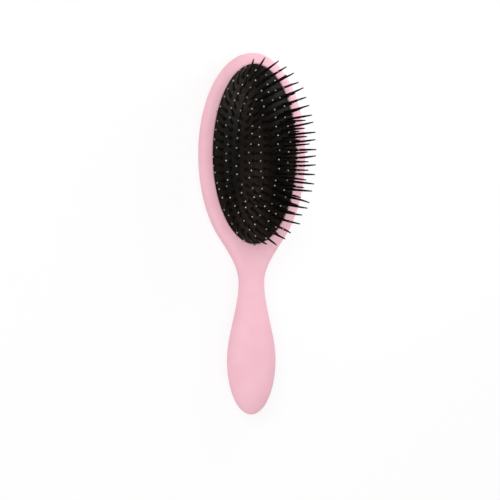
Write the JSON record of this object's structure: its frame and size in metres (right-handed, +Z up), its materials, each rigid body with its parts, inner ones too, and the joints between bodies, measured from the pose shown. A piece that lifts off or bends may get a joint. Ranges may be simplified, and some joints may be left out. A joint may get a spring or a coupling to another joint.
{
  "type": "detangling brush",
  "caption": "Oval cushion hairbrush for detangling: one-piece head and handle, a domed air cushion and thin ball-tipped bristles that sink with the cushion.",
  "frame": {"origin": "on the surface that the brush lies on, under the middle of its length and width", "axes": "+X across the head, +Y along the brush towards the top of the head, +Z up out of the cushion, the way the bristles point"},
  "size_m": [0.0678, 0.222, 0.0454],
  "materials": {
    "soft_touch_pink": "satin soft-touch coating",
    "cushion_rubber": "matte",
    "ring_plastic": "moulded",
    "bristle_nylon": "smooth nylon"
  },
  "bodies": {
    "handle": {"handle_body": "soft_touch_pink", "cushion_pad": "cushion_rubber", "cushion_ring": "ring_plastic"},
    "row_1": {"bristle_row_1": "bristle_nylon"},
    "row_2": {"bristle_row_2": "bristle_nylon"},
    "row_3": {"bristle_row_3": "bristle_nylon"},
    "row_4": {"bristle_row_4": "bristle_nylon"},
    "row_5": {"bristle_row_5": "bristle_nylon"}
  },
  "joints": [
    {"name": "cushion_press", "type": "slide", "parent": "handle", "child": "row_5", "axis": [0, 0, 1], "range_m": [-0.0036, 0], "stiffness_N_per_m": 1500, "deforming": ["cushion_pad"]},
    {"name": "row_4_sink", "type": "slide", "parent": "handle", "child": "row_4", "axis": [0, 0, 1], "range_m": [-0.00319, 0]},
    {"name": "row_3_sink", "type": "slide", "parent": "handle", "child": "row_3", "axis": [0, 0, 1], "range_m": [-0.00264, 0]},
    {"name": "row_2_sink", "type": "slide", "parent": "handle", "child": "row_2", "axis": [0, 0, 1], "range_m": [-0.00191, 0]},
    {"name": "row_1_sink", "type": "slide", "parent": "handle", "child": "row_1", "axis": [0, 0, 1], "range_m": [-0.00106, 0]}
  ],
  "couplings": [
    {"joint": "row_4_sink", "follows": "cushion_press", "ratio": 0.886},
    {"joint": "row_3_sink", "follows": "cushion_press", "ratio": 0.732},
    {"joint": "row_2_sink", "follows": "cushion_press", "ratio": 0.529},
    {"joint": "row_1_sink", "follows": "cushion_press", "ratio": 0.293}
  ]
}
